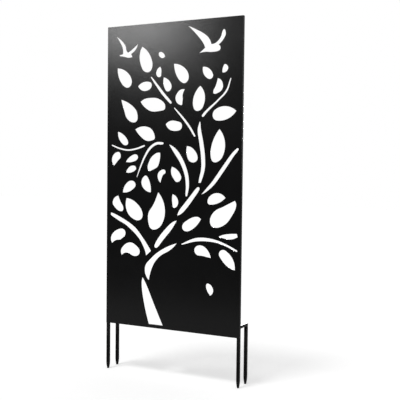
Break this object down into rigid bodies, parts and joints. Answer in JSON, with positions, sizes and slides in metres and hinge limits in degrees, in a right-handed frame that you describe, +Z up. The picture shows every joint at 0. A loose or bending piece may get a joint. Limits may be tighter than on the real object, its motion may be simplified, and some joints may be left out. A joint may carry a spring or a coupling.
{
  "type": "decorative trellis",
  "caption": "Tall garden trellis screen: a flat sheet with a cut-out tree, leaves and flying birds, on a square-tube frame with pointed stakes and crossbars that push into soil.",
  "frame": {"origin": "centre of the bounding box, at the level of the stakes' tips", "axes": "+X to the viewer's right when the sheet is seen from its face, +Y from the sheet back towards the rear stakes, +Z up"},
  "size_m": [0.9, 0.1192, 2.085],
  "materials": {
    "black_powder_coat": "black satin powder coat on steel, with a fine orange-peel texture"
  },
  "bodies": {
    "root": {"screen_sheet": "black_powder_coat", "top_rail": "black_powder_coat", "bottom_rail": "black_powder_coat", "left_stile": "black_powder_coat", "right_stile": "black_powder_coat", "left_crossbar": "black_powder_coat", "right_crossbar": "black_powder_coat", "left_rear_stake": "black_powder_coat", "right_rear_stake": "black_powder_coat", "left_front_point": "black_powder_coat", "right_front_point": "black_powder_coat", "left_rear_point": "black_powder_coat", "right_rear_point": "black_powder_coat"}
  },
  "joints": []
}
